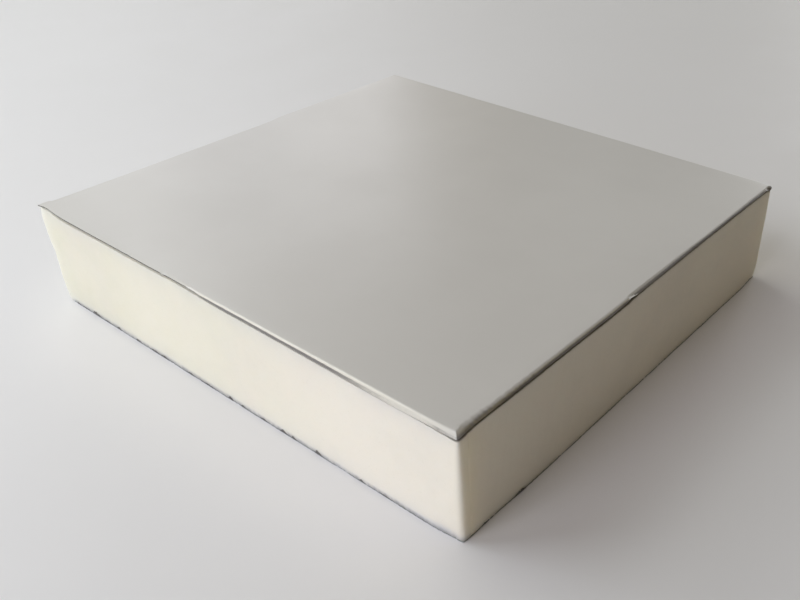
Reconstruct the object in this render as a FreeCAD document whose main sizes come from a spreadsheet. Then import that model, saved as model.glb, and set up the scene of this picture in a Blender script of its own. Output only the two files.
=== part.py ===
"""Hand-cut sample of an insulated sandwich panel, lying flat.

Three separate pieces, bonded face to face: a thin painted steel facing on top whose
front and right edges were sheared and drawn down over the core, a rigid foam core, and
a thin flat steel facing underneath.

+X runs along the length, +Y along the width, +Z up. The origin is the middle of the
underside. Lengths are in mm and angles in degrees.
"""
import FreeCAD, Part
import math
import os
import Sketcher

# ---------------------------------------------------------------- sizes, written once
SIZES = {
    # the panel
    "panel_length": 250.0,
    "panel_width": 230.0,
    "panel_thickness": 50.0,
    "outer_gauge": 0.5,
    "inner_gauge": 0.5,
    # upright edges of the core, worn by handling
    "core_round_front_right": 2.5,
    "core_round_front_left": 2.0,
    "core_round_back": 1.0,
    # on the left edge the cut was set over: behind this point the upper sheet juts out
    "overhang": 1.6,
    "overhang_start": 127.0,
    "overhang_ramp": 14.0,
    # strip along the front and right edges in which the sheared lip is formed
    "lip_zone": 5.0,
    "lip_root": 1.0,
    "lip_corner_round": 1.1,
    # the tear on the right edge, where the shears were started again
    "nick_from_front": 107.0,
    "nick_width": 1.6,
    "nick_depth": 1.2,
    # how far cutting volumes run past the faces they cut
    "cut_clearance": 1.0,
}

# The sheared lip, station by station: how far the station lies from the one before it,
# how far in from the edge the sheet starts to turn, how far its edge drops below the
# sheet, and the outer radius of the bend, below which the sheet runs straight to its cut.
STATIONS = {
    # along the front edge, from the front right corner towards the left
    "front_a": {"step": 22.0, "set_back": 1.4, "drop": 2.3, "bend": 1.1},
    "front_b": {"step": 40.0, "set_back": 1.1, "drop": 2.1, "bend": 0.9},
    "front_c": {"step": 55.0, "set_back": 1.1, "drop": 2.0, "bend": 0.9},
    "front_d": {"step": 12.0, "set_back": 1.2, "drop": 0.6, "bend": 0.8},
    "front_e": {"step": 18.0, "set_back": 1.0, "drop": 0.3, "bend": 0.8},
    "front_end": {"set_back": 0.9, "drop": 0.15, "bend": 0.9},
    # the front right corner, shared by both edges
    "corner": {"set_back": 3.2, "drop": 2.4, "bend": 2.0},
    # along the right edge, from the front right corner towards the back
    "right_a": {"step": 18.0, "set_back": 3.4, "drop": 1.2, "bend": 2.8},
    "right_b": {"step": 34.0, "set_back": 2.3, "drop": 0.95, "bend": 2.0},
    "nick_near": {"set_back": 1.5, "drop": 0.8, "bend": 1.1},
    # behind the tear, towards the back right corner
    "nick_far": {"set_back": 2.4, "drop": 0.8, "bend": 2.2},
    "back_a": {"step": 28.0, "set_back": 2.2, "drop": 0.75, "bend": 2.0},
    "back_b": {"step": 34.0, "set_back": 1.6, "drop": 0.5, "bend": 1.6},
    "back_end": {"set_back": 1.4, "drop": 0.7, "bend": 1.1},
}
for station, quantities in STATIONS.items():
    for quantity, value in quantities.items():
        SIZES[station + "_" + quantity] = value

doc = FreeCAD.newDocument("sandwich_panel")
sheet = doc.addObject("Spreadsheet::Sheet", "sizes")
for row, (alias, value) in enumerate(SIZES.items(), start=1):
    sheet.set("A%d" % row, alias)
    sheet.set("B%d" % row, str(value))
    sheet.setAlias("B%d" % row, alias)
doc.recompute()


# ---------------------------------------------------------------- sizes in formulas
class Size:
    """A formula in the sizes, with the value it has now to start a sketch from."""

    def __init__(self, text, value):
        self.text = text
        self.value = value

    def join(self, sign, other, value):
        return Size("(%s %s %s)" % (self.text, sign, other.text), value)

    def __add__(self, other):
        return self.join("+", other, self.value + other.value)

    def __sub__(self, other):
        return self.join("-", other, self.value - other.value)

    def __mul__(self, other):
        return self.join("*", other, self.value * other.value)

    def __truediv__(self, other):
        return self.join("/", other, self.value / other.value)

    def __neg__(self):
        return Size("(0 - %s)" % self.text, -self.value)


def number(value):
    return Size(str(value), value)


def square_root(formula):
    return Size("sqrt(%s)" % formula.text, math.sqrt(formula.value))


def arc_tangent(formula):
    return Size("(atan(%s) / 1 deg)" % formula.text, math.degrees(math.atan(formula.value)))


def size(alias):
    return Size("sizes." + alias, SIZES[alias])


ZERO = number(0)
ONE = number(1)
TWO = number(2)
HALF = number(0.5)
TOP = size("panel_thickness")
RIGHT = size("panel_length") * HALF
LEFT = -RIGHT
BACK = size("panel_width") * HALF
FRONT = -BACK
CUT_LEFT = LEFT + size("overhang")
GAUGE = size("outer_gauge")
ZONE = size("lip_zone")
# sections of the lip start here, inside the flat sheet that they join
ROOT = size("lip_root") * HALF
OVER = size("cut_clearance")


# ---------------------------------------------------------------- modelling helpers
def new_body(name):
    body = doc.addObject("PartDesign::Body", name)
    body.Label = name
    return body


def new_sketch(body, name, role):
    sketch = body.newObject("Sketcher::SketchObject", name)
    plane = next(f for f in body.Origin.OriginFeatures if f.Role == role)
    sketch.AttachmentSupport = [(plane, "")]
    sketch.MapMode = "FlatFace"
    return sketch


def pin(sketch, geometry, point, name, x, y=None):
    """Tie a point of a sketch to formulas, measured from the sketch's origin."""
    for kind, formula in (("DistanceX", x), ("DistanceY", y)):
        if formula is not None:
            refs = (-1, 1, geometry, point, formula.value)
            index = sketch.addConstraint(Sketcher.Constraint(kind, *refs))
            sketch.renameConstraint(index, name + kind)
            sketch.setExpression("Constraints." + name + kind, formula.text)


def polygon(sketch, corners):
    """Closed outline through corners given as (x, y) formulas."""
    ends = [FreeCAD.Vector(x.value, y.value, 0) for x, y in corners]
    for start, end in zip(ends, ends[1:] + ends[:1]):
        sketch.addGeometry(Part.LineSegment(start, end), False)
    for i, (x, y) in enumerate(corners):
        following = (i + 1) % len(corners)
        sketch.addConstraint(Sketcher.Constraint("Coincident", i, 2, following, 1))
        pin(sketch, i, 1, "corner%d" % i, x, y)
    return sketch


def prism(kind, body, name, corners, base, length):
    """Pad or pocket of a level outline; a pocket cuts downwards from its base."""
    sketch = new_sketch(body, name + "_outline", "XY_Plane")
    sketch.setExpression("AttachmentOffset.Base.z", base.text)
    polygon(sketch, corners)
    doc.recompute()
    feature = body.newObject("PartDesign::" + kind, name)
    feature.Profile = sketch
    feature.setExpression("Length", length.text)
    doc.recompute()
    return feature


def loft(kind, body, name, sections):
    feature = body.newObject("PartDesign::" + kind, name)
    feature.Profile = sections[0]
    feature.Sections = [(section, "") for section in sections[1:]]
    feature.Ruled = True
    doc.recompute()
    return feature


def round_upright(body, name, x, y, radius):
    """Round the upright edge that stands at (x, y)."""
    last = body.Tip
    def distance(index):
        middle = last.Shape.Edges[index].CenterOfMass
        return math.hypot(middle.x - x.value, middle.y - y.value)
    nearest = min(range(len(last.Shape.Edges)), key=distance)
    feature = body.newObject("PartDesign::Fillet", name)
    feature.Base = (last, ["Edge%d" % (nearest + 1)])
    feature.setExpression("Radius", radius.text)
    doc.recompute()
    return feature


# ---------------------------------------------------------------- the sheared lip
class Station:
    """An upright section across the lip: where it stands and which way it faces."""

    def __init__(self, name, x, y, angle, reach=ZONE, profile=None):
        profile = profile or name
        self.name = name
        self.x, self.y, self.angle = x, y, angle
        self.reach = reach
        self.drop = size(profile + "_drop")
        self.bend = size(profile + "_bend")
        set_back = size(profile + "_set_back") * reach / ZONE
        self.turn = reach - set_back
        # the straight face runs from the cut edge to the bend, which it leaves tangent
        rise = self.bend - self.drop
        span = set_back * set_back + rise * rise
        face = square_root(span - self.bend * self.bend)
        self.sine = (set_back * self.bend - rise * face) / span
        self.cosine = (rise * self.bend + set_back * face) / span

    def sketch(self, body, suffix):
        """Empty sketch whose x axis points out of the panel and whose y axis is up."""
        sketch = new_sketch(body, self.name + suffix, "XZ_Plane")
        turn = FreeCAD.Rotation(FreeCAD.Vector(0, 1, 0), self.angle.value)
        sketch.AttachmentOffset = FreeCAD.Placement(FreeCAD.Vector(), turn)
        sketch.setExpression("AttachmentOffset.Base.x", self.x.text)
        sketch.setExpression("AttachmentOffset.Base.z", (-self.y).text)
        sketch.setExpression("AttachmentOffset.Rotation.Angle", self.angle.text)
        return sketch

    def cut_edge(self, depth):
        """Point on the cut edge, so deep below the sheet's upper face."""
        return self.reach - depth * self.sine, TOP - self.drop - depth * self.cosine

    def arc(self, sketch, name, depth):
        """The bend at a depth below the upper face, from the straight face to the flat."""
        radius = self.bend - depth
        middle = TOP - self.bend
        x, z = self.turn + radius * self.sine, middle + radius * self.cosine
        centre = FreeCAD.Vector(self.turn.value, middle.value, 0)
        circle = Part.Circle(centre, FreeCAD.Vector(0, 0, 1), radius.value)
        first = math.atan2(self.cosine.value, self.sine.value)
        arc = sketch.addGeometry(Part.ArcOfCircle(circle, first, math.pi / 2), False)
        pin(sketch, arc, 3, name + "Centre", self.turn, middle)
        pin(sketch, arc, 1, name + "Face", x, z)
        pin(sketch, arc, 2, name + "Flat", self.turn)
        return arc

    def joined(self, sketch, start, end):
        """Line between two points, each an (arc, end) pair or an (x, z) formula pair."""
        places = []
        for first, second in (start, end):
            if isinstance(first, int):
                places.append(sketch.getPoint(first, second))
            else:
                places.append(FreeCAD.Vector(first.value, second.value, 0))
        index = sketch.addGeometry(Part.LineSegment(*places), False)
        for own, (first, second) in ((1, start), (2, end)):
            if isinstance(first, int):
                sketch.addConstraint(
                    Sketcher.Constraint("Coincident", index, own, first, second))
        return index

    def chain(self, sketch, points):
        """Open chain of lines through points; the formula points are pinned."""
        before = None
        for start, end in zip(points, points[1:]):
            index = self.joined(sketch, start, end)
            if before is not None:
                sketch.addConstraint(
                    Sketcher.Constraint("Coincident", before, 2, index, 1))
                pin(sketch, index, 1, "line%d" % index, *start)
            before = index

    def sheet_section(self, body):
        """The sheet itself: flat root, bend, straight face and the cut edge."""
        sketch = self.sketch(body, "_sheet")
        outer = self.arc(sketch, "outer", ZERO)
        inner = self.arc(sketch, "inner", GAUGE)
        self.chain(sketch, [
            (outer, 1), self.cut_edge(ZERO), self.cut_edge(GAUGE), (inner, 1)])
        self.chain(sketch, [(inner, 2), (ROOT, TOP - GAUGE), (ROOT, TOP), (outer, 2)])
        return sketch

    def core_section(self, body):
        """Everything above the core: from the sheet's inner face upwards and outwards."""
        sketch = self.sketch(body, "_relief")
        inner = self.arc(sketch, "inner", GAUGE)
        beyond = self.reach + OVER
        self.chain(sketch, [
            (inner, 1), self.cut_edge(GAUGE), self.cut_edge(ZERO),
            (beyond, TOP - self.drop), (beyond, TOP + OVER), (ROOT, TOP + OVER),
            (ROOT, TOP - GAUGE), (inner, 2)])
        return sketch


# Both lips stand on lines one lip zone in from the edges, and meet at the corner there.
LINE_X = RIGHT - ZONE
LINE_Y = FRONT + ZONE
TO_FRONT = number(-90)
TO_RIGHT = ZERO
ROUND = size("lip_corner_round")
ROUND_START = ZONE - ROUND
ROUND_REACH = square_root(ZONE * ZONE + ROUND_START * ROUND_START)
ROUND_ANGLE = arc_tangent(ROUND_START / ZONE)
TIP_REACH = ZONE * square_root(TWO) - ROUND * (square_root(TWO) - ONE)

front = []
position = LINE_X
for name in ("front_a", "front_b", "front_c", "front_d", "front_e"):
    position = position - size(name + "_step")
    front.append(Station(name, position, LINE_Y, TO_FRONT))
front.append(Station("front_end", CUT_LEFT, LINE_Y, TO_FRONT))

corner = [
    Station("corner_front", LINE_X, LINE_Y, TO_FRONT, ZONE, "corner"),
    Station("corner_round_front", LINE_X, LINE_Y, TO_FRONT + ROUND_ANGLE,
            ROUND_REACH, "corner"),
    Station("corner_tip", LINE_X, LINE_Y, number(-45), TIP_REACH, "corner"),
    Station("corner_round_right", LINE_X, LINE_Y, -ROUND_ANGLE, ROUND_REACH, "corner"),
    Station("corner_right", LINE_X, LINE_Y, TO_RIGHT, ZONE, "corner"),
]

NICK = FRONT + size("nick_from_front")
right = []
position = LINE_Y
for name in ("right_a", "right_b"):
    position = position + size(name + "_step")
    right.append(Station(name, LINE_X, position, TO_RIGHT))
right.append(Station("nick_near", LINE_X, NICK, TO_RIGHT))

behind = [Station("nick_far", LINE_X, NICK, TO_RIGHT)]
position = NICK
for name in ("back_a", "back_b"):
    position = position + size(name + "_step")
    behind.append(Station(name, LINE_X, position, TO_RIGHT))
behind.append(Station("back_end", LINE_X, BACK, TO_RIGHT))

LIPS = {"lip": list(reversed(front)) + corner + right, "lip_behind_tear": behind}

# ---------------------------------------------------------------- outer facing
outer_facing = new_body("outer_facing")
ROOT_LINE_X = LINE_X + size("lip_root")
ROOT_LINE_Y = LINE_Y - size("lip_root")
OVERHANG_Y = FRONT + size("overhang_start")
prism("Pad", outer_facing, "flat_sheet", [
    (CUT_LEFT, ROOT_LINE_Y),
    (ROOT_LINE_X, ROOT_LINE_Y),
    (ROOT_LINE_X, BACK),
    (LEFT, BACK),
    (LEFT, OVERHANG_Y + size("overhang_ramp")),
    (CUT_LEFT, OVERHANG_Y),
], TOP - GAUGE, GAUGE)
for name, stations in LIPS.items():
    sections = [station.sheet_section(outer_facing) for station in stations]
    doc.recompute()
    loft("AdditiveLoft", outer_facing, name, sections)
NICK_HALF = size("nick_width") * HALF
prism("Pocket", outer_facing, "nick", [
    (RIGHT + OVER, NICK - NICK_HALF),
    (RIGHT, NICK - NICK_HALF),
    (RIGHT - size("nick_depth"), NICK),
    (RIGHT, NICK + NICK_HALF),
    (RIGHT + OVER, NICK + NICK_HALF),
], TOP + OVER, ZONE)

# ---------------------------------------------------------------- foam core
foam_core = new_body("foam_core")
INNER = size("inner_gauge")
PLAN = [(CUT_LEFT, FRONT), (RIGHT, FRONT), (RIGHT, BACK), (CUT_LEFT, BACK)]
prism("Pad", foam_core, "foam_block", PLAN, INNER, TOP - INNER - GAUGE)
for name, (x, y), radius in zip(
        ("round_front_left", "round_front_right", "round_back_right", "round_back_left"),
        PLAN,
        ("core_round_front_left", "core_round_front_right",
         "core_round_back", "core_round_back")):
    round_upright(foam_core, name, x, y, size(radius))
for name, stations in LIPS.items():
    sections = [station.core_section(foam_core) for station in stations]
    doc.recompute()
    loft("SubtractiveLoft", foam_core, "relief_under_" + name, sections)

# ---------------------------------------------------------------- inner facing
inner_facing = new_body("inner_facing")
prism("Pad", inner_facing, "lower_sheet", PLAN, ZERO, INNER)

# ---------------------------------------------------------------- check and export
doc.recompute()
for thing in doc.Objects:
    if "Invalid" in thing.State or "Error" in thing.State:
        raise RuntimeError("%s did not build: %s" % (thing.Name, thing.State))
os.makedirs("parts", exist_ok=True)
for body in (outer_facing, foam_core, inner_facing):
    if body.Shape.isNull() or not body.Shape.isValid() or len(body.Shape.Solids) != 1:
        raise RuntimeError("%s is not one sound solid" % body.Label)
    body.Shape.exportStep("parts/%s.step" % body.Label)
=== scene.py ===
"""Looks of the hand-cut sandwich panel sample: fine edges, materials, light and camera.

Shapes are worked out in millimetres in the row frame and stored in metres. A place along
the front edge is its x, and a place along the right edge is its y.
"""

import math

import bpy
import numpy as np
from mathutils import Matrix, Vector


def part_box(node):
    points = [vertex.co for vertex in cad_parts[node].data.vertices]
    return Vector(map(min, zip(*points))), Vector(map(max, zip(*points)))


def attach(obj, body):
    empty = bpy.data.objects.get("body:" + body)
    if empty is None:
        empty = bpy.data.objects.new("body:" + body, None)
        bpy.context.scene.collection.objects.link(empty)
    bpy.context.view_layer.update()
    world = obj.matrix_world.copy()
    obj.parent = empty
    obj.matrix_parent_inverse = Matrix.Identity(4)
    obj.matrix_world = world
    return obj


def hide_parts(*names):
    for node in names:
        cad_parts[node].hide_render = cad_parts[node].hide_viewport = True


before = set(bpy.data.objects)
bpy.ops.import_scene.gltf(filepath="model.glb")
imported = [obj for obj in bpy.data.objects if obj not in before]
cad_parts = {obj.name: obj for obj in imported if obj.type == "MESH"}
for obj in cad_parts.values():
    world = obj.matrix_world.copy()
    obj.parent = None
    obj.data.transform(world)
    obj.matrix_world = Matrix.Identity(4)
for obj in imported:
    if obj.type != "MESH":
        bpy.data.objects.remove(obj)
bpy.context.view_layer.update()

MM = 0.001


# ---------------------------------------------------------------- sizes from the frame
def box_in_mm(node):
    """Lowest and highest corner of a CAD node."""
    return [np.array(corner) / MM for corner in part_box(node)]


(LEFT, FRONT, _), (RIGHT, BACK, TOP) = box_in_mm("outer_facing")
CUT_LEFT, _, FOAM_BOTTOM = box_in_mm("foam_core")[0]
(_, _, lower_bottom), (_, _, lower_top) = box_in_mm("inner_facing")
GAUGE = lower_top - lower_bottom

GLUE_GAP = 0.02       # clearance between two glued faces
ZONE = 5.0            # strip along every edge in which sections are drawn
ROOT = 0.5            # sections start this far outside the strip's inner line
LEAN = 1.0            # the right face leans in this much from bottom to top
EAR = 5.0             # the upper sheet's pulled-out front left corner fades over this

# the upper sheet's left edge steps out over the core here
OVERHANG_START, OVERHANG_END = FRONT + 127, FRONT + 141
# the shears were started again here on the right edge
TEAR_START, TEAR_END = FRONT + 102, FRONT + 108.5
# a burr on the front lip, and the torn spot where the lip begins
BURR_X, TORN_X = RIGHT - 179.4, RIGHT - 155.5


# ---------------------------------------------------------------- shape helpers
def wander(t, period, seed, waves=5):
    """Smooth wandering line through zero, about one in size."""
    rng = np.random.RandomState(seed)
    total = np.zeros_like(np.asarray(t, float))
    for _ in range(waves):
        stretch, phase = rng.uniform(0.6, 1.9), rng.uniform(0, 2 * math.pi)
        total = total + np.sin(2 * math.pi * t / (period * stretch) + phase)
    return total / math.sqrt(waves)


def wander_2d(u, v, period, seed, waves=7):
    """Smooth wandering surface through zero, about one in size."""
    rng = np.random.RandomState(seed)
    total = np.zeros_like(u + v)
    for _ in range(waves):
        angle, phase = rng.uniform(0, math.pi), rng.uniform(0, 2 * math.pi)
        stretch = rng.uniform(0.6, 1.9)
        along = u * math.cos(angle) + v * math.sin(angle)
        total = total + np.sin(2 * math.pi * along / (period * stretch) + phase)
    return total / math.sqrt(waves)


def bump_at(t, centre, width):
    """Bell of height one."""
    return np.exp(-((t - centre) / width) ** 2)


def fade(t, length):
    """One up to zero, dying away over this length after it."""
    return np.exp(-np.maximum(t, 0) / length)


def ease(t, start, end):
    """Zero before start, one after end, smooth between."""
    share = np.clip((t - start) / (end - start), 0, 1)
    return share * share * (3 - 2 * share)


def table(t, rows, column):
    """Value at t between the rows of a table, whose first column is the position."""
    xs = np.array([row[0] for row in rows], float)
    ys = np.array([row[column] for row in rows], float)
    return np.interp(t, xs, ys)


def ring_mesh(name, rings, material_rows, materials):
    """Closed mesh from rings (count, stations, 3), joined in order and capped flat.

    material_rows gives the material of the band above each ring, and of the last cap.
    """
    count, stations, _ = rings.shape
    verts = (rings.reshape(-1, 3) * MM).tolist()
    faces, slots = [], []
    for r in range(count - 1):
        lower, upper = r * stations, (r + 1) * stations
        for s in range(stations):
            t = (s + 1) % stations
            faces.append((lower + s, lower + t, upper + t, upper + s))
            slots.append(material_rows[r])
    faces.append(tuple(reversed(range(stations))))
    faces.append(tuple(range((count - 1) * stations, count * stations)))
    slots += [material_rows[0], material_rows[-1]]
    mesh = bpy.data.meshes.new(name)
    mesh.from_pydata(verts, [], faces)
    mesh.polygons.foreach_set("material_index", slots)
    mesh.polygons.foreach_set("use_smooth", [True] * (len(faces) - 2) + [False] * 2)
    mesh.update()
    piece = bpy.data.objects.new(name, mesh)
    bpy.context.scene.collection.objects.link(piece)
    for material in materials:
        mesh.materials.append(material)
    return piece


# ---------------------------------------------------------------- way round the panel
CORNER_STEPS = 28
EDGES = ("front", "right", "back", "left")
FRONT_EDGE, RIGHT_EDGE, BACK_EDGE, LEFT_EDGE = range(4)


class Way:
    """Stations round the panel, from the front edge's left end and round by the right.

    Each station has a pivot inside the outline and an outward direction. All stations of
    a corner share one pivot. A station's edge counts the corner after it too, and turn
    says how far round that corner it is, from 0 to 1. spacing gives the distance between
    stations on each edge, and left_x the x of the left edge at each y.
    """

    def __init__(self, spacing, left_x):
        inner = {
            "front": ((left_x(FRONT) + ZONE, FRONT + ZONE), (RIGHT - ZONE, FRONT + ZONE)),
            "right": ((RIGHT - ZONE, FRONT + ZONE), (RIGHT - ZONE, BACK - ZONE)),
            "back": ((RIGHT - ZONE, BACK - ZONE), (left_x(BACK) + ZONE, BACK - ZONE)),
            "left": ((left_x(BACK) + ZONE, BACK - ZONE), (left_x(FRONT) + ZONE, FRONT + ZONE)),
        }
        round_corner = np.arange(CORNER_STEPS) / CORNER_STEPS
        pivot, angle, edge, turn = [], [], [], []
        for number, name in enumerate(EDGES):
            (x0, y0), (x1, y1) = inner[name]
            steps = max(2, int(math.hypot(x1 - x0, y1 - y0) / spacing[name]))
            share = np.arange(steps) / steps
            x, y = x0 + (x1 - x0) * share, y0 + (y1 - y0) * share
            if name == "left":
                x = left_x(y) + ZONE
            pivot += list(zip(x, y)) + [(x1, y1)] * CORNER_STEPS
            angle += [(number - 1) * math.pi / 2] * steps
            angle += list((number - 1 + round_corner) * math.pi / 2)
            edge += [number] * (steps + CORNER_STEPS)
            turn += [0] * steps + list(round_corner)
        self.pivot = np.array(pivot)
        self.edge = np.array(edge)
        self.turn = np.array(turn)
        self.out = np.stack([np.cos(angle), np.sin(angle)], 1)

    def places(self):
        """x and y of every station."""
        return (self.pivot + self.out * ZONE).T

    def reach(self, rounds):
        """Distance from the pivots to an outline whose corners have these radii.

        A corner is a superellipse that passes through the middle of the real arc.
        """
        reach = np.full(len(self.turn), ZONE)
        arc_share = (1 - math.sqrt(0.5)) / ZONE
        for number, radius in enumerate(rounds):
            here = (self.edge == number) & (self.turn > 0)
            power = -math.log(2) / np.log(1 - arc_share * np.asarray(radius, float))
            c, s = np.abs(self.out[here, 0]), np.abs(self.out[here, 1])
            reach[here] = ZONE * (c ** power + s ** power) ** (-1 / power)
        return reach

    def points(self, reach, z):
        """Ring at these distances from the pivots."""
        plan = self.pivot + self.out * reach[:, None]
        return np.column_stack([plan, np.broadcast_to(z, reach.shape)])


# ---------------------------------------------------------------- the sheared lip
ROUND = 9.0           # a radius this large makes the whole bend one arc
# Place along the edge, how far in from the sheet's edge it turns, how far it drops,
# radius of the bend, how far the edge lies inside the panel's outline, depth at which
# the foam's face begins, how much of it the blade scraped bare and how strong a
# highlight is painted on its bend.
LIP_COLUMNS = ("set_back", "drop", "radius", "shift", "foam", "bare", "polish")
FRONT_LIP = (
    (-123.6, 0.9, 0.03, ROUND, 0.15, 0.7, 0.2, 0.0),
    (-121.5, 0.9, 0.06, ROUND, 0.9, 0.95, 0.2, 0.0),
    (-118, 0.9, 0.08, ROUND, 0.9, 1.1, 0.2, 0.0),
    (-115, 1.5, 0.12, ROUND, 0.65, 1.2, 0.2, 0.0),
    (-112, 2.0, 0.15, ROUND, 0.35, 1.5, 0.2, 0.0),
    (-104, 3.0, 0.3, ROUND, 0.05, 2.15, 0.2, 0.0),
    (-40, 3.0, 0.25, ROUND, 0.05, 2.05, 0.2, 0.0),
    (-28, 2.0, 0.15, ROUND, 0.1, 1.75, 0.2, 0.0),
    (-16, 1.2, 0.2, 5.0, 0.05, 1.9, 0.4, 0.2),
    (-9, 0.9, 0.8, 1.1, 0.05, 2.1, 0.7, 0.6),
    (-3, 0.85, 1.6, 0.85, 0.05, 2.4, 1.0, 1.0),
    (25, 0.9, 1.8, 0.9, 0.05, 2.6, 1.0, 1.0),
    (55, 0.9, 2.0, 0.9, 0.05, 2.75, 0.85, 1.0),
    (70, 1.0, 2.3, 1.0, 0.05, 2.95, 0.7, 1.0),
    (82, 1.0, 2.5, 1.0, 0.05, 3.0, 0.5, 1.0),
    (94, 1.0, 2.6, 1.0, 0.05, 2.95, 0.35, 0.9),
    (104, 1.1, 2.6, 1.1, 0.05, 2.85, 0.25, 0.8),
    (110, 1.1, 2.5, 1.1, 0.05, 2.9, 0.25, 0.8),
    (116, 1.4, 2.3, 1.3, 0.05, 3.05, 0.5, 0.7),
    (121, 1.7, 2.2, 1.6, 0.05, 3.1, 0.4, 0.5),
    (125, 2.2, 2.1, 2.0, 0.1, 3.1, 0.4, 0.3),
)
RIGHT_LIP = (
    (-115, 2.6, 2.2, 2.2, 0.3, 3.1, 0.5, 0.2),
    (-110, 3.0, 1.75, ROUND, 0.45, 2.5, 0.75, 0.0),
    (-104, 3.0, 1.3, ROUND, 0.4, 2.0, 0.8, 0.0),
    (-98, 2.4, 1.3, ROUND, 0.3, 1.9, 0.85, 0.0),
    (-90, 2.1, 1.4, ROUND, 0.3, 2.1, 0.8, 0.0),
    (-60, 1.6, 1.45, ROUND, 0.25, 2.2, 0.85, 0.0),
    (-30, 1.4, 1.4, ROUND, 0.2, 2.3, 0.85, 0.0),
    (-14, 1.4, 1.35, ROUND, 0.2, 2.35, 0.85, 0.0),
    (-13, 2.0, 1.25, 1.2, 0.2, 2.1, 0.9, 0.0),
    (-6, 2.0, 1.0, 1.0, 0.2, 1.7, 0.9, 0.0),
    (2, 2.0, 0.9, 1.0, 0.2, 1.6, 0.95, 0.0),
    (20, 1.8, 0.75, 1.0, 0.3, 1.35, 1.0, 0.0),
    (50, 1.3, 0.6, 0.8, 0.4, 1.2, 1.0, 0.0),
    (95, 1.4, 0.6, 0.8, 0.4, 1.2, 1.0, 0.0),
    (115, 1.5, 0.9, 1.0, 0.2, 1.5, 0.9, 0.0),
)
PLAIN_EDGE = (0.8, 0.12, ROUND, 0.05, 0.7, 0.3, 0.0)

# least and most of each measure, so that the bend always fits the strip
SET_BACK_RANGE = (0.65, ZONE - ROOT - 0.3)
DROP_RANGE = (0.03, 3.2)
SHIFT_RANGE = (0.02, 1.6)
COVER = 0.25          # the foam's face begins at least this far below the sheet's edge

RIPPLE_FADE = 26      # the right edge's ripples die away over this from the front corner
TURNED_SIZE = 3.0     # size of the turned-down back right corner
TURNED_DROP = 1.3     # and how far it is turned down
BACK_DROOP = 0.3      # the back edge hangs this much lower beside it
STEP_SAG = 0.45       # the sheet hangs this much lower behind the left edge's step
RUN_OUT = 0.8         # the old cut of the right edge grows this much shallower at the tear
TONGUE_TOP = 0.28     # depth of the tongue in the tear where it starts
TONGUE_SLOPE = 0.9    # and how much deeper it is where it ends
NO_TONGUE = 9.0       # deeper than any part of the sheet


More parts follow.
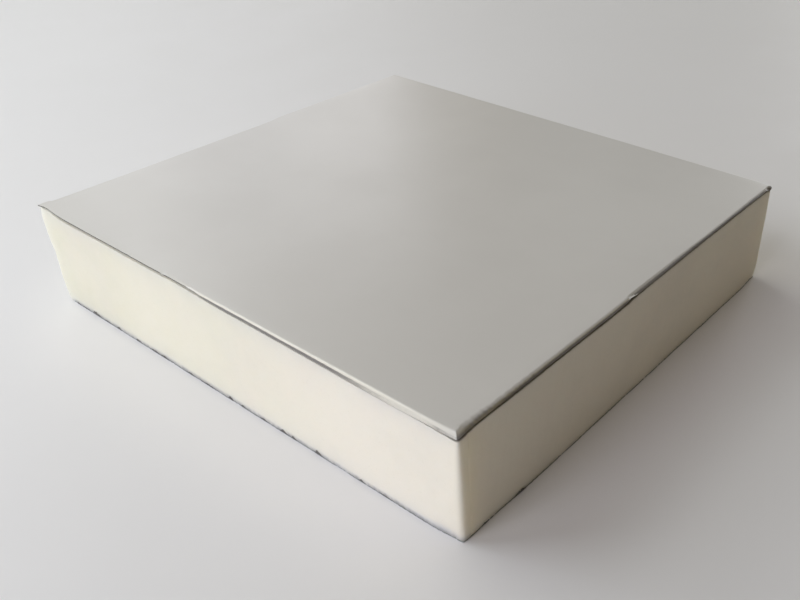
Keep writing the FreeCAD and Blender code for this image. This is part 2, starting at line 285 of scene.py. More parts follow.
class Lip:
    """Shape of the upper sheet's edge at each station of a way."""

    def __init__(self, way):
        x, y = way.places()
        x, y = np.clip(x, LEFT, RIGHT), np.clip(y, FRONT, BACK)
        edge, turn = way.edge, way.turn
        on_front = ((edge == FRONT_EDGE) & (turn < 0.5)) | ((edge == LEFT_EDGE) & (turn > 0.5))
        on_left = ((edge == LEFT_EDGE) & ~on_front) | ((edge == BACK_EDGE) & (turn > 0.5))
        on_back = (edge == BACK_EDGE) | ((edge == RIGHT_EDGE) & (turn > 0))
        self.on_right = (((edge == FRONT_EDGE) & (turn >= 0.5))
                         | ((edge == RIGHT_EDGE) & (turn < 0.5)))
        for column, name in enumerate(LIP_COLUMNS):
            value = np.full(len(x), PLAIN_EDGE[column])
            value[on_front] = table(x, FRONT_LIP, column + 1)[on_front]
            value[self.on_right] = table(y, RIGHT_LIP, column + 1)[self.on_right]
            setattr(self, name, value)
        self.ripple(x, y)
        self.droop(x, y, on_back, on_left)
        self.nick(x, on_front)
        self.tear(y)
        self.fit_strip()

    def ripple(self, x, y):
        """Uneven cut all round, rippled along the right edge by the front corner."""
        near_corner = self.on_right * fade(np.hypot(x - RIGHT, y - FRONT), RIPPLE_FADE)
        self.set_back += wander(y - x, period=6.5, seed=3) * (0.03 + 0.22 * near_corner)
        self.set_back += wander(y - x, period=2.6, seed=5) * 0.4 * near_corner
        self.drop *= (1 + 0.04 * wander(x - y, period=23, seed=7)
                      + 0.012 * wander(x + y, period=3.1, seed=11))
        self.shift += (0.03 * wander(x - y, period=27, seed=13)
                       + 0.008 * wander(x + y, period=2.1, seed=17))

    def droop(self, x, y, on_back, on_left):
        """Back right corner turned down, and the sheet low beside it and by the step."""
        turned = bump_at(np.hypot(x - RIGHT, y - BACK), 0, TURNED_SIZE)
        self.set_back += turned
        self.drop += TURNED_DROP * turned
        self.foam += (TURNED_DROP + 0.3) * turned
        self.bare += 0.6 * turned
        self.drop += on_back * BACK_DROOP * ease(x, RIGHT - 85, RIGHT - 5)
        self.drop += on_left * STEP_SAG * ease(y, OVERHANG_START, OVERHANG_END)

    def nick(self, x, on_front):
        """Small burr on the front lip, and the torn spot where the lip begins."""
        self.drop -= on_front * 0.15 * bump_at(x, BURR_X, 0.9)
        self.drop += on_front * 0.35 * bump_at(x, TORN_X, 1.4)
        self.foam += on_front * 0.3 * bump_at(x, TORN_X, 2.2)

    def tear(self, y):
        """Where the right edge's cut was begun again.

        The old cut runs out in a tongue that stays up while the new roll starts under it.
        tongue is how deep the sheet may go at each station.
        """
        torn = (y - TEAR_START) / (TEAR_END - TEAR_START)
        inside = self.on_right & (torn >= 0) & (torn <= 1)
        sloping = TONGUE_TOP + TONGUE_SLOPE * np.clip(torn, 0, 1)
        self.tongue = np.where(inside, sloping, NO_TONGUE)
        run_out = RUN_OUT * self.on_right * (torn < 0) * fade(-torn, 1 / 6)
        self.drop -= run_out
        self.bare -= run_out

    def fit_strip(self):
        """Keep every bend inside the strip and its arc short of the upright."""
        self.set_back = np.clip(self.set_back, *SET_BACK_RANGE)
        self.drop = np.clip(self.drop, *DROP_RANGE)
        self.shift = np.clip(self.shift, *SHIFT_RANGE)
        limit = 0.98 * (self.set_back ** 2 + self.drop ** 2) / (2 * self.drop)
        limit = np.where(self.drop > self.set_back, np.minimum(limit, self.set_back), limit)
        self.radius = np.clip(self.radius, GAUGE + 0.1, limit)
        self.foam = np.maximum(self.foam, self.drop + COVER)

    def bend(self, reach, depth, points):
        """Bend and turned-down face at a depth below the sheet's upper face.

        Gives distances along the station's direction and heights, from flat to edge.
        """
        reach = reach - self.shift
        centre = TOP - self.radius
        rise = self.radius - self.drop
        face = np.sqrt(np.maximum(self.set_back ** 2 + rise ** 2 - self.radius ** 2, 0))
        swing = np.arctan2(self.set_back, rise) - np.arctan2(face, self.radius)
        turns = np.linspace(0, 1, points)[:, None] * swing
        root = reach - self.set_back
        along = root + (self.radius - depth) * np.sin(turns)
        height = centre + (self.radius - depth) * np.cos(turns)
        steps = np.linspace(0, 1, 4)[1:, None] * face
        along = np.vstack([along, along[-1] + steps * np.cos(swing)])
        height = np.vstack([height, height[-1] - steps * np.sin(swing)])
        return along, np.maximum(height, TOP - depth - self.tongue)


# ---------------------------------------------------------------- the hand cut
def left_edge(y):
    """x of the upper sheet's left edge, with its step and its pulled-out front corner."""
    y = np.asarray(y, float)
    overhang = np.maximum(ease(y, OVERHANG_START, OVERHANG_END), fade(y - FRONT, EAR))
    return CUT_LEFT + (LEFT - CUT_LEFT) * overhang


def straight_left(y):
    """x of the left edge of the core and of the lower sheet."""
    return CUT_LEFT + 0 * np.asarray(y, float)


# how far the core bulges past its cut at the front left corner: height, bulge
LEFT_BULGE = ((0, -0.5), (2, 0.9), (10, 1.5), (16, 1.3), (21.5, 0.7), (27, 0.2), (31.5, 1.2),
              (36, 1.5), (46, 1.5), (50, 1.3))
FALL_BACK = 0.6       # how far that corner falls back under the sheet

# how far the foot is worn in: the front by the right corner, the right side by each corner
FRONT_WEAR = 1.05
SIDE_WEAR, BACK_WEAR = 0.5, 0.9
WORN_HEIGHT = 9.0     # the wear of the core dies out over this height


def as_cut(rings):
    """The right face of the hand cut leans in towards the top."""
    x, z = rings[..., 0], rings[..., 2]
    rings = rings.copy()
    rings[..., 0] -= LEAN * z / TOP * ease(x, RIGHT - 14, RIGHT - 1.5)
    return rings


def bulged(rings):
    """The core's front left corner bulges out sideways and falls back under the sheet."""
    x, y, z = rings[..., 0], rings[..., 1], rings[..., 2]
    rings = rings.copy()
    near = (1 - ease(x, CUT_LEFT + 0.5, CUT_LEFT + 9)) * fade(y - FRONT, 25)
    rings[..., 0] = np.maximum(x - table(z, LEFT_BULGE, 1) * near, LEFT + 0.03)
    by_left = (1 - ease(x, CUT_LEFT, CUT_LEFT + 16)) * fade(y - FRONT, 4)
    rings[..., 1] += FALL_BACK * by_left * ease(z, TOP - 7, TOP - 0.8)
    return rings


def foot_wear(way):
    """How far the panel's foot is worn in at each station."""
    x, y = way.places()
    front = FRONT_WEAR * ease(x, RIGHT - 15, RIGHT - 1) * (y < 0)
    side = (SIDE_WEAR * (1 - ease(y, FRONT + 19, FRONT + 37))
            + BACK_WEAR * ease(y, BACK - 17, BACK)) * (x > 0)
    along_x, along_y = np.abs(way.out[:, 0]), np.abs(way.out[:, 1])
    return (front * along_y ** 2 + side * along_x ** 2) / np.maximum(along_x, along_y)


# ---------------------------------------------------------------- materials
def shader(name):
    """New material and its principled shader."""
    material = bpy.data.materials.new(name)
    material.use_nodes = True
    return material, material.node_tree.nodes["Principled BSDF"]


class Nodes:
    """Short hand for laying out shader nodes. Scales count waves per metre."""

    def __init__(self, material):
        self.tree = material.node_tree
        self.place = self.add("ShaderNodeTexCoord").outputs["Object"]

    def add(self, kind, **settings):
        node = self.tree.nodes.new(kind)
        for key, value in settings.items():
            setattr(node, key, value)
        return node

    def link(self, source, target):
        """Feed a socket from another one, or set it to a number or colour."""
        if isinstance(source, (int, float, tuple)):
            target.default_value = source
        else:
            self.tree.links.new(source, target)

    def noise(self, scale, detail=3.0, roughness=0.5, stretch=None, turn=0.0):
        node = self.add("ShaderNodeTexNoise")
        place = self.place
        if stretch:
            mapping = self.add("ShaderNodeMapping")
            mapping.inputs["Scale"].default_value = stretch
            mapping.inputs["Rotation"].default_value = (0, 0, turn)
            self.link(place, mapping.inputs["Vector"])
            place = mapping.outputs["Vector"]
        self.link(place, node.inputs["Vector"])
        node.inputs["Scale"].default_value = scale
        node.inputs["Detail"].default_value = detail
        node.inputs["Roughness"].default_value = roughness
        return node.outputs["Fac"]

    def span(self, value, low, high, to_low=0.0, to_high=1.0):
        """Value from low to high, smoothly mapped onto another range."""
        node = self.add("ShaderNodeMapRange", clamp=True, interpolation_type="SMOOTHSTEP")
        for socket, number in (("From Min", low), ("From Max", high),
                               ("To Min", to_low), ("To Max", to_high)):
            node.inputs[socket].default_value = number
        self.link(value, node.inputs["Value"])
        return node.outputs["Result"]

    def math(self, operation, first, second=0.0):
        node = self.add("ShaderNodeMath", operation=operation)
        self.link(first, node.inputs[0])
        self.link(second, node.inputs[1])
        return node.outputs["Value"]

    def mix(self, share, first, second):
        """Colour between two others."""
        node = self.add("ShaderNodeMix", data_type="RGBA")
        self.link(share, node.inputs["Factor"])
        for colour, socket in ((first, node.inputs["A"]), (second, node.inputs["B"])):
            self.link(colour + (1.0,) if isinstance(colour, tuple) else colour, socket)
        return node.outputs["Result"]

    def axis(self, name):
        split = self.add("ShaderNodeSeparateXYZ")
        self.link(self.place, split.inputs["Vector"])
        return split.outputs[name]

    def attribute(self, name):
        return self.add("ShaderNodeAttribute", attribute_name=name).outputs["Fac"]

    def bump(self, height, strength, distance, normal=None):
        node = self.add("ShaderNodeBump")
        node.inputs["Strength"].default_value = strength
        node.inputs["Distance"].default_value = distance
        self.link(height, node.inputs["Height"])
        if normal is not None:
            self.link(normal, node.inputs["Normal"])
        return node.outputs["Normal"]


def painted_steel(name, light, dark, highlight_tint, bare_tint):
    """Coil-coated steel: satin paint with a faint orange peel, worn bare where cut."""
    material, paint = shader(name)
    n = Nodes(material)
    cloud = n.noise(14, 4, 0.55)
    wipes = n.noise(30, 3, 0.6, stretch=(0.25, 2.2, 1), turn=0.7)
    specks = n.span(n.noise(900, 2, 0.5), 0.72, 0.78, 0, 0.35)
    colour = n.mix(n.span(cloud, 0.3, 0.7), light, dark)
    colour = n.mix(n.span(wipes, 0.45, 0.8, 0, 0.25), colour, light)
    colour = n.mix(specks, colour, dark)
    # painted highlight along the bend of the lip
    colour = n.mix(n.attribute("polish"), colour, highlight_tint)
    scraped = n.noise(420, 4, 0.65, stretch=(1, 1, 5))
    ragged = n.math("MULTIPLY", n.math("SUBTRACT", scraped, 0.5), 0.35)
    bare = n.span(n.math("ADD", n.attribute("bare"), ragged), 0.2, 0.8)
    bare_shade = tuple(0.75 * part for part in bare_tint)
    colour = n.mix(bare, colour, n.mix(scraped, bare_tint, bare_shade))
    n.link(colour, paint.inputs["Base Color"])
    n.link(n.math("MULTIPLY", bare, 0.3), paint.inputs["Metallic"])
    n.link(n.span(cloud, 0.3, 0.7, 0.30, 0.34), paint.inputs["Roughness"])
    paint.inputs["Specular IOR Level"].default_value = 0.7
    fine = n.bump(n.noise(1300, 2, 0.5), 0.03, 0.04 * MM)
    scratched = n.bump(n.math("MULTIPLY", scraped, bare), 0.15, 0.06 * MM, fine)
    n.link(scratched, paint.inputs["Normal"])
    return material


def cut_steel(name, dark, bright, metal):
    """Sheared edge of the sheet: bright zinc streaks on darker steel."""
    material, steel = shader(name)
    n = Nodes(material)
    streaks = n.noise(600, 4, 0.7, stretch=(1, 1, 6))
    n.link(n.mix(n.span(streaks, 0.35, 0.7), dark, bright), steel.inputs["Base Color"])
    steel.inputs["Metallic"].default_value = metal
    n.link(n.span(streaks, 0.3, 0.7, 0.38, 0.6), steel.inputs["Roughness"])
    n.link(n.bump(streaks, 0.3, 0.05 * MM), steel.inputs["Normal"])
    return material


def primer(name, light, dark):
    """Thin back coat on the hidden face of a sheet."""
    material, coat = shader(name)
    n = Nodes(material)
    cloud = n.noise(60, 3, 0.5)
    n.link(n.mix(n.span(cloud, 0.35, 0.65), light, dark), coat.inputs["Base Color"])
    coat.inputs["Roughness"].default_value = 0.6
    n.link(n.bump(n.noise(1500, 2), 0.1, 0.03 * MM), coat.inputs["Normal"])
    return material


# creams of the foam, from the darker left end to the lighter right end
LEFT_END_CREAM, CREAM, RIGHT_END_CREAM = (0.77, 0.73, 0.573), (0.85, 0.80, 0.646), (0.92, 0.843, 0.72)
CLOUDED, ROSY, SMUDGED = (0.91, 0.838, 0.724), (0.91, 0.806, 0.69), (0.72, 0.685, 0.60)
# the pale tint is painted light, the warm tint a painted glow
PORE, EDGE_LIGHT, GLOW_TINT = (0.62, 0.55, 0.42), (0.85, 0.84, 0.74), (1.0, 0.87, 0.67)
# the darkest tint is painted shade under the sheet
GREYED, STRIP_GREY, UNDER_SHEET_SHADE = (0.52, 0.51, 0.54), (0.42, 0.405, 0.42), (0.10, 0.087, 0.09)


def rigid_foam(name):
    """Sawn rigid foam: cream, fine closed cells, faintly stained, with painted light and shade.
    """
    material, foam = shader(name)
    n = Nodes(material)
    along = n.axis("X")
    painted_shade = n.attribute("painted_shade")
    blotches = n.span(n.noise(60, 3, 0.5), 0.2, 0.7, 0.35, 0.8)
    colour = n.mix(n.span(along, -120 * MM, -45 * MM), LEFT_END_CREAM, CREAM)
    layers = (
        (n.span(along, -20 * MM, 90 * MM), RIGHT_END_CREAM),
        (n.span(n.noise(38, 5, 0.6), 0.3, 0.72, 0, 0.3), CLOUDED),
        (n.span(n.noise(16, 3, 0.55), 0.5, 0.72, 0, 0.4), ROSY),
        # stain at the foot, and the foam darker towards foot and top
        (n.math("MULTIPLY", n.attribute("stain_and_darkening"), blotches), GREYED),
        # greyer strip just above the lower sheet
        (n.attribute("grey_strip"), STRIP_GREY),
        # painted light along the left corner
        (n.math("MULTIPLY", n.attribute("painted_edge_light"), 0.35), EDGE_LIGHT),
        (n.span(n.noise(27, 5, 0.6), 0.45, 0.75, 0, 0.22), SMUDGED),
        (n.span(n.noise(1100, 3, 0.6), 0.6, 0.75, 0, 0.16), PORE),
        # painted warm glow by the front right corner
        (n.attribute("painted_glow"), GLOW_TINT),
        # painted shade under the drawn-down sheet
        (painted_shade, UNDER_SHEET_SHADE),
    )
    for share, tint in layers:
        colour = n.mix(share, colour, tint)
    n.link(colour, foam.inputs["Base Color"])
    # light soaks into the foam, and not where shade is painted under the sheet
    unshaded = n.math("SUBTRACT", 1.0, painted_shade)
    n.link(n.math("MULTIPLY", unshaded, 0.4), foam.inputs["Subsurface Weight"])
    foam.inputs["Subsurface Radius"].default_value = (1.0, 0.9, 0.8)
    foam.inputs["Subsurface Scale"].default_value = 9 * MM
    foam.inputs["Roughness"].default_value = 0.95
    foam.inputs["Specular IOR Level"].default_value = 0.15
    cells = n.add("ShaderNodeTexVoronoi", feature="SMOOTH_F1")
    n.link(n.place, cells.inputs["Vector"])
    cells.inputs["Scale"].default_value = 2600
    grain = n.bump(cells.outputs["Distance"], 0.25, 0.12 * MM)
    torn = n.bump(n.noise(420, 5, 0.65), 0.3, 0.25 * MM, grain)
    sawn = n.bump(n.noise(45, 3, 0.5, stretch=(1, 1, 2.5)), 0.25, 1.0 * MM, torn)
    n.link(sawn, foam.inputs["Normal"])
    return material


def pale_floor(name, light, dark):
    """Smooth pale table top, clouded and faintly grained."""
    material, top = shader(name)
    n = Nodes(material)
    n.link(n.mix(n.noise(3, 4, 0.5), light, dark), top.inputs["Base Color"])
    n.link(n.span(n.noise(25, 4, 0.6), 0.3, 0.7, 0.5, 0.6), top.inputs["Roughness"])
    top.inputs["Specular IOR Level"].default_value = 0.3
    n.link(n.bump(n.noise(700, 3, 0.5), 0.05, 0.1 * MM), top.inputs["Normal"])
    return material


# ---------------------------------------------------------------- the three pieces
# corner radii from the front right corner round
SHEET_ROUNDS = (1.1, 0.4, 0.3, 0.2)
LOWER_ROUNDS = (1.3, 1.3, 0.5, 3.5)
FOOT_ROUND, NECK_ROUND = 2.2, 1.1     # the core's front right corner, below and at the top
CORE_ROUNDS = (1.4, 1.0, 0.4)         # the core's other corners
BEND_POINTS = 9
# uneven foam: size of the waves, how much flatter than long they are, period and seed
CORE_RELIEF = ((0.06, 1.6, 34, 21), (0.03, 1.3, 6, 23), (0.015, 1.0, 1.9, 29))
SAWN_OFF = 0.12       # how far the core's faces lie inside the cut on average
CRUMBLED = (0.12, 0.07, 3.5, 31, 0.5)    # the face's top: depth, unevenness, period, seed, fade
ROUGH_FOOT = (0.2, 0.12, 2.8, 37, 0.8)   # and its foot, in the same way
GROOVE = 1.2          # how deep the core is cut back under the drawn-down sheet
# burrs that stand up from the lower sheet's cut edge: place, height, width
FRONT_BURRS = (
    (-117, 0.9, 2.0),
    (-110, 0.9, 2.5),
    (-102, 2.0, 1.5),
    (-99.5, 1.2, 1.5),
    (-92, 0.9, 2.5),
    (-82.4, 1.7, 1.2),
    (-67, 1.4, 1.8),
    (-55, 1.1, 2.5),
    (-47.5, 1.2, 2.5),
    (-28.5, 1.1, 2.0),
    (-16, 1.0, 4.0),
    (-1.2, 1.9, 1.0),
    (6.8, 1.3, 1.3),
    (20, 1.1, 2.2),
    (31.8, 1.8, 1.5),
    (37.9, 1.6, 1.0),
    (52, 2.0, 1.4),
    (75.7, 1.4, 1.2),
    (87.8, 1.0, 2.0),
)
RIGHT_BURRS = ((-102, 1.0, 1.6), (-82.8, 1.5, 2.0), (-80.5, 1.1, 1.0))


def attribute(piece, name, values):
    """Store one number per vertex, for the materials to read."""
    layer = piece.data.attributes.new(name, "FLOAT", "POINT")
    layer.data.foreach_set("value", np.asarray(values, np.float32).ravel())


def settle(piece, node, crease=38):
    """Crease the sharp edges, and put the piece in the place of its CAD node."""
    piece.data.set_sharp_from_angle(angle=math.radians(crease))
    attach(piece, "root")
    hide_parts(node)


def lip_wear(shape, along, z):
    """How bare the painted side is and its painted highlight, from the cut edge to the flat."""
    stretch = np.hypot(np.diff(along, axis=0), np.diff(z, axis=0))
    way_down = np.vstack([np.zeros(along.shape[1]), np.cumsum(stretch, axis=0)])
    way_down = way_down / way_down[-1]
    round_bend = np.minimum(1, np.arange(len(z)) / (BEND_POINTS - 1))[:, None]
    worn = np.where(shape.on_right, ease(way_down, 0.1, 0.95), ease(round_bend, 0.8, 1.0))
    bare = shape.bare * worn * (z > TOP - shape.tongue + 0.02)
    # a highlight painted along the bend
    polish = shape.polish * ease(round_bend, 0.05, 0.5)
    return bare[::-1], polish[::-1]


def outer_facing(paint, steel, back_coat):
    """Upper sheet, its front and right edges sheared and drawn down."""
    way = Way({"front": 0.4, "right": 0.4, "back": 1.2, "left": 1.2}, left_edge)
    shape = Lip(way)
    reach = way.reach(SHEET_ROUNDS)
    upper_along, upper_z = shape.bend(reach, 0.0, BEND_POINTS)
    lower_along, lower_z = shape.bend(reach, GAUGE, BEND_POINTS - 2)
    root = np.full(len(reach), ROOT)
    rings = [way.points(root, TOP - GAUGE)]
    rings += [way.points(a, z) for a, z in zip(lower_along, lower_z)]
    cut_ring = len(rings)
    for share in (0.12, 0.88):
        rings.append(way.points(
            lower_along[-1] + (upper_along[-1] - lower_along[-1]) * share,
            lower_z[-1] + (upper_z[-1] - lower_z[-1]) * share))
    paint_ring = len(rings)
    rings += [way.points(a, z) for a, z in zip(upper_along[::-1], upper_z[::-1])]
    rings.append(way.points(root, TOP))
    rings = as_cut(np.array(rings))
    rows = [0] * (cut_ring - 1) + [1] * 3 + [2] * (len(rings) - paint_ring)
    piece = ring_mesh("upper_sheet", rings, rows, [back_coat, steel, paint])
    bare, polish = np.zeros(rings.shape[:2]), np.zeros(rings.shape[:2])
    bare[paint_ring:-1], polish[paint_ring:-1] = lip_wear(shape, upper_along, upper_z)
    attribute(piece, "bare", bare)
    # painted highlight on the bend
    attribute(piece, "polish", polish)
    settle(piece, "outer_facing")


def core_levels(face_top, top_z):
    """Heights of the core's rings, close together at the foot and under the sheet."""
    foot = [FOAM_BOTTOM + rise for rise in (0, 0.25, 0.5, 0.8, 1.2, 1.7, 2.4)]
    face = [foot[-1] + (face_top - 1.2 - foot[-1]) * k / 30 for k in range(1, 31)]
    brow = [face_top - drop for drop in (0.9, 0.65, 0.45, 0.3, 0.18, 0.08)]
    neck = [face_top + (top_z - face_top) * k / 3 for k in range(4)]
    return foot + face + brow + neck


def crumbled(around, distance, rows):
    """How deep the foam is crumbled away at a distance from its face's top or foot."""
    depth, uneven, period, seed, length = rows
    rough = depth + uneven * wander(around, period, seed)
    return np.maximum(rough * fade(distance, length), 0)


def core_rings(way, shape):
    """Rings of the core: uneven faces, worn foot, and a crumbled neck under the sheet."""
    x, y = way.places()
    sheet_reach = way.reach(SHEET_ROUNDS)
    under_along, under_z = shape.bend(sheet_reach, GAUGE + GLUE_GAP, 4)
    face_top = TOP - shape.foam
    top_z = np.maximum(under_z[-1], face_top + 0.05)
    across = (way.edge == FRONT_EDGE) | (way.edge == BACK_EDGE)
    around = np.where(across, x, y) + 400 * way.edge
    rings = [way.points(np.full(len(x), ROOT), FOAM_BOTTOM)]
    for level in core_levels(face_top, top_z):
        z = np.broadcast_to(level, x.shape)
        height = float(np.mean(z - FOAM_BOTTOM)) / (TOP - FOAM_BOTTOM)
        corner = FOOT_ROUND + (NECK_ROUND - FOOT_ROUND) * ease(height, 0.45, 1.0)
        relief = SAWN_OFF + sum(size * wander_2d(around, z * flat, period, seed)
                                for size, flat, period, seed in CORE_RELIEF)
        inset = np.maximum(relief, GLUE_GAP)
        inset = inset + crumbled(around, face_top - z, CRUMBLED)
        inset = inset + crumbled(around, z - FOAM_BOTTOM, ROUGH_FOOT)
        inset = inset + GROOVE * ease(z, face_top - 0.07, face_top)
        inset = inset + foot_wear(way) * (1 - ease(z - FOAM_BOTTOM, 0, WORN_HEIGHT))
        behind_lip = sheet_reach - under_along[-1] + 0.05
        inset = np.maximum(inset, behind_lip * ease(z, face_top, top_z))
        neck = way.reach((corner, *CORE_ROUNDS)) - inset
        rings.append(way.points(neck, z))
    rings += [way.points(np.minimum(a, neck), np.maximum(z, top_z))
              for a, z in zip(under_along[-2::-1], under_z[-2::-1])]
    rings.append(way.points(np.full(len(x), ROOT), TOP - GAUGE - GLUE_GAP))
    return bulged(as_cut(np.array(rings)))


def stain_core(piece, way, shape, rings):
    """Stains, darkening, painted light and shade on the core, each an attribute of its own."""
    x, y = way.places()
    on_front = way.edge == FRONT_EDGE
    front_and_left = on_front | (way.edge == LEFT_EDGE)
    height = rings[:, :, 2] - FOAM_BOTTOM
    below = np.maximum(TOP - shape.foam - rings[:, :, 2], 0)

    # grey band at the foot by the front right corner, and the foam darker towards foot and top
    band = 3.0 + 0.5 * wander(x, period=24, seed=41)
    banded = on_front * ease(x, 60, 113) * (1 - ease(height, band * 0.2, band * 1.5))
    darkened = 0.6 * fade(height, 1.2) + 0.3 * fade(height, 6.0) + 0.35 * fade(below, 6.0)
    stain_and_darkening = np.minimum(np.maximum(banded, darkened * front_and_left), 1)

    # greyer strip on the front, just above the lower sheet's cut edge
    grey_strip = 0.4 + 0.16 * wander(x, period=1.7, seed=61) + 0.16 * wander(x, period=8, seed=63)
    grey_strip = np.clip(grey_strip, 0, 0.8) * (1 - ease(height, 0.7, 2.4)) * on_front

    # painted shade: dark line under the drawn-down sheet, fainter below it on the right
    by_corner = ease(x, RIGHT - 10, RIGHT - 3) * on_front
    shade_strength = np.where(shape.on_right, 0.95, np.maximum(0.2 + 0.5 * shape.bare, by_corner))
    painted_shade = (1 - ease(below, 0, 0.12)) * shade_strength + 0.2 * shape.on_right * fade(below, 0.7)

    # painted light by the left corner, and a painted warm glow by the front right one
    painted_edge_light = fade(x - CUT_LEFT, 6.0) * front_and_left
    painted_glow = np.where(on_front, 0.5 * fade(RIGHT - x, 3), fade(y - FRONT, 8))
    painted_glow = painted_glow * (on_front | (way.edge == RIGHT_EDGE))

    for name, values in (("stain_and_darkening", stain_and_darkening), ("grey_strip", grey_strip), ("painted_shade", np.minimum(painted_shade, 0.95)),
                         ("painted_edge_light", painted_edge_light), ("painted_glow", painted_glow)):
        attribute(piece, name, np.broadcast_to(values, height.shape))


def foam_core(foam):
    """The foam block between the sheets."""
    way = Way({"front": 0.8, "right": 0.8, "back": 1.6, "left": 1.6}, straight_left)
    shape = Lip(way)
    rings = core_rings(way, shape)
    piece = ring_mesh("foam_block", rings, [0] * len(rings), [foam])
    stain_core(piece, way, shape, rings)
    settle(piece, "foam_core", crease=60)


def burr_height(way):
    """How far the lower sheet's cut edge stands up past its gauge at each station."""
    x, y = way.places()
    rise = np.zeros(len(x))
    for rows, edge, along in ((FRONT_BURRS, FRONT_EDGE, x), (RIGHT_BURRS, RIGHT_EDGE, y)):
        straight = (way.edge == edge) * (way.turn == 0)
        for place, tall, wide in rows:
            rise = rise + straight * (tall - GAUGE) * bump_at(along, place, wide)
    return rise * np.clip(1.2 + 0.35 * wander(x - y, period=1.3, seed=59), 0.6, 2)


def inner_facing(paint, steel, dusty_steel, back_coat):
    """Lower sheet, flat, its cut edge ragged and burred."""
    way = Way({"front": 0.4, "right": 0.5, "back": 1.6, "left": 1.6}, straight_left)
    x, y = way.places()
    reach = way.reach(LOWER_ROUNDS)
    ragged = (0.09 + 0.08 * wander(x - y, period=15, seed=51)
              + 0.06 * wander(x + y, period=1.9, seed=53))
    rise = burr_height(way)
    burr = np.clip(rise / 0.6, 0, 1)
    edge = reach - foot_wear(way) - np.clip(ragged * (1 - burr), 0.01, 0.5)
    seen = way.edge <= RIGHT_EDGE
    thick = GAUGE + rise + 0.05 * wander(x - y, period=3.1, seed=57) * seen
    root = np.full(len(x), ROOT)
    face = GAUGE - GLUE_GAP
    rings = np.array([
        way.points(root, 0.0),
        way.points(edge - 0.12, 0.0),
        way.points(edge, 0.1),
        way.points(edge, GAUGE - 0.1),
        way.points(edge, np.maximum(thick - 0.08, GAUGE - 0.08)),
        way.points(edge - 0.06, np.maximum(thick, GAUGE - 0.04)),
        way.points(edge - 0.12 - 0.03 * burr, np.maximum(thick - 0.06, GAUGE - 0.05)),
        way.points(np.minimum(edge - 0.16, reach - 0.3), face),
        way.points(root, face),
    ])
    piece = ring_mesh("lower_sheet", rings, [2, 1, 1, 3, 3, 3, 0, 0, 0],
                      [back_coat, dusty_steel, paint, steel])
    settle(piece, "inner_facing")


# ---------------------------------------------------------------- stage, light, camera
FLOOR_SIZE = 6.0
BACKGROUND = (0.60, 0.60, 0.61, 1)

# Daylight from all round, strongest from the front, the left and the back:
# name, azimuth, elevation, distance and size in metres, power, colour.
DAYLIGHT = (
    ("front_low", 270, 8, 2.0, 1.0, 13.3, (0.86, 0.91, 1.0)),
    ("front_near", 270, 40, 1.1, 0.5, 3.3, (0.93, 0.93, 1.0)),
    ("front_left_near", 222, 40, 1.1, 0.5, 4.0, (0.89, 0.95, 1.0)),
    ("left_pane_low", 190, 20, 2.0, 1.0, 11.2, (0.935, 0.965, 1.0)),
    ("left_pane_high", 170, 34, 2.0, 1.0, 4.4, (0.98, 1.0, 0.98)),
    ("ceiling_left", 170, 55, 2.0, 1.0, 3.6, (0.99, 1.0, 0.81)),
    ("back_left", 148, 20, 2.0, 0.9, 3.6, (0.92, 0.93, 1.0)),
    ("back_gap", 135, 18, 2.0, 0.6, 0.6, (1.0, 0.93, 0.85)),
    ("back_left_low", 110, 20, 2.0, 1.0, 1.5, (0.94, 0.98, 1.0)),
    ("back_low", 90, 8, 2.0, 1.0, 11.6, (0.96, 0.98, 1.0)),
    ("warm_wall", 45, 30, 2.0, 1.0, 2.6, (1.0, 0.86, 0.47)),
    ("ceiling", 0, 89, 2.0, 1.6, 1.6, (1.0, 0.57, 0.40)),
)

# The camera looks down on the front right corner, its frame shifted off the line of sight.
CAMERA_AT = Vector((256.95, -263.84, 227.06)) * MM
LOOKING = Vector((-0.49026, 0.62902, -0.6033))
RIGHTWARDS = Vector((0.78464, 0.61989, 0.00869))
FRAME_SHIFT = (-0.1272, 0.0853)
SENSOR_WIDTH, FOCAL_LENGTH = 36.0, 38.78
CLIP = (0.01, 20)


def put(name, data):
    """New object in the scene for a mesh, lamp or camera."""
    holder = bpy.data.objects.new(name, data)
    bpy.context.scene.collection.objects.link(holder)
    return holder


def lay_floor(material):
    """Level table top under the panel."""
    mesh = bpy.data.meshes.new("floor")
    half = FLOOR_SIZE / 2
    corners = [(-half, -half, 0), (half, -half, 0), (half, half, 0), (-half, half, 0)]
    mesh.from_pydata(corners, [], [(0, 1, 2, 3)])
    mesh.materials.append(material)
    put("floor", mesh)


def area_light(name, azimuth, elevation, distance, size, power, colour):
    """Soft square light aimed at the panel. Azimuth 0 is +X, counted towards +Y."""
    lamp = bpy.data.lights.new(name, "AREA")
    lamp.shape, lamp.size = "SQUARE", size
    lamp.energy, lamp.color = power, colour
    a, e = math.radians(azimuth), math.radians(elevation)
    towards = Vector((math.cos(a) * math.cos(e), math.sin(a) * math.cos(e), math.sin(e)))
    holder = put(name, lamp)
    holder.location = towards * distance
    holder.rotation_euler = towards.to_track_quat("Z", "Y").to_euler()
    holder.visible_camera = False


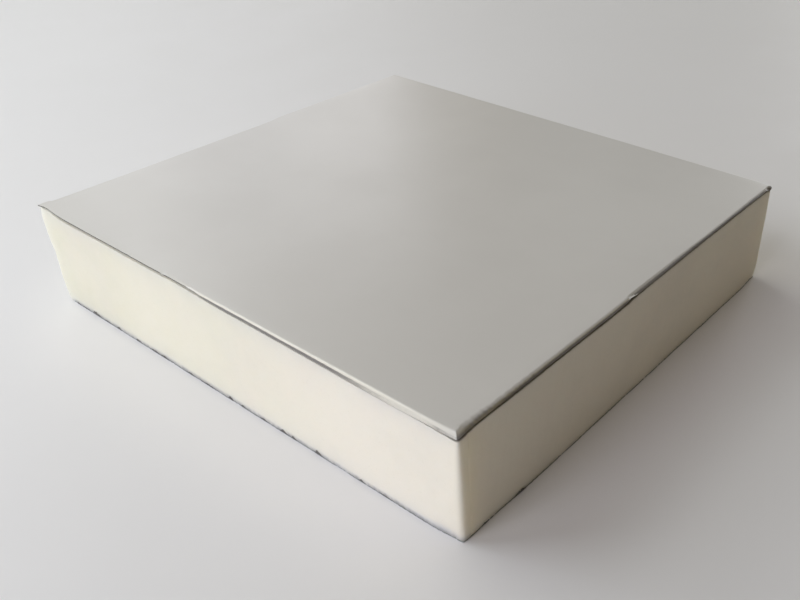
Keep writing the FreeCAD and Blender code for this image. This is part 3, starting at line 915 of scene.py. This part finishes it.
def paint_background():
    """Pale far wall that the camera sees and that lights nothing."""
    world = bpy.data.worlds.new("room")
    world.use_nodes = True
    sky = world.node_tree.nodes["Background"]
    seen = world.node_tree.nodes.new("ShaderNodeLightPath")
    sky.inputs["Color"].default_value = BACKGROUND
    world.node_tree.links.new(seen.outputs["Is Camera Ray"], sky.inputs["Strength"])
    bpy.context.scene.world = world


def set_camera():
    """Camera at the viewing angle, with its frame shifted to take in the panel."""
    lens = bpy.data.cameras.new("camera")
    lens.sensor_width, lens.lens = SENSOR_WIDTH, FOCAL_LENGTH
    lens.shift_x, lens.shift_y = FRAME_SHIFT
    lens.clip_start, lens.clip_end = CLIP
    camera = put("camera", lens)
    back = -LOOKING.normalized()
    right = (RIGHTWARDS - back * RIGHTWARDS.dot(back)).normalized()
    turned = Matrix((right, back.cross(right), back)).transposed()
    camera.matrix_world = Matrix.Translation(CAMERA_AT) @ turned.to_4x4()
    bpy.context.scene.camera = camera


# ---------------------------------------------------------------- the scene
grey_paint = painted_steel(
    "satin_grey_paint", light=(0.618, 0.596, 0.554), dark=(0.591, 0.569, 0.528),
    highlight_tint=(0.78, 0.73, 0.62), bare_tint=(0.26, 0.24, 0.225))
white_paint = painted_steel(
    "satin_white_paint", light=(0.58, 0.58, 0.56), dark=(0.54, 0.54, 0.52),
    highlight_tint=(0.6, 0.6, 0.57), bare_tint=(0.2, 0.2, 0.18))
back_coat = primer("back_coat", light=(0.42, 0.43, 0.38), dark=(0.36, 0.37, 0.33))
sheared_steel = cut_steel(
    "sheared_steel", dark=(0.10, 0.095, 0.085), bright=(0.26, 0.25, 0.235), metal=0.6)
dusty_steel = cut_steel(
    "dusty_sheared_steel", dark=(0.54, 0.53, 0.54), bright=(0.78, 0.77, 0.78), metal=0.25)

outer_facing(grey_paint, sheared_steel, back_coat)
foam_core(rigid_foam("rigid_foam"))
inner_facing(white_paint, sheared_steel, dusty_steel, back_coat)

lay_floor(pale_floor("pale_table", light=(0.80, 0.79, 0.785), dark=(0.77, 0.76, 0.755)))
for row in DAYLIGHT:
    area_light(*row)
paint_background()
bpy.context.scene.view_settings.view_transform = "Standard"
set_camera()
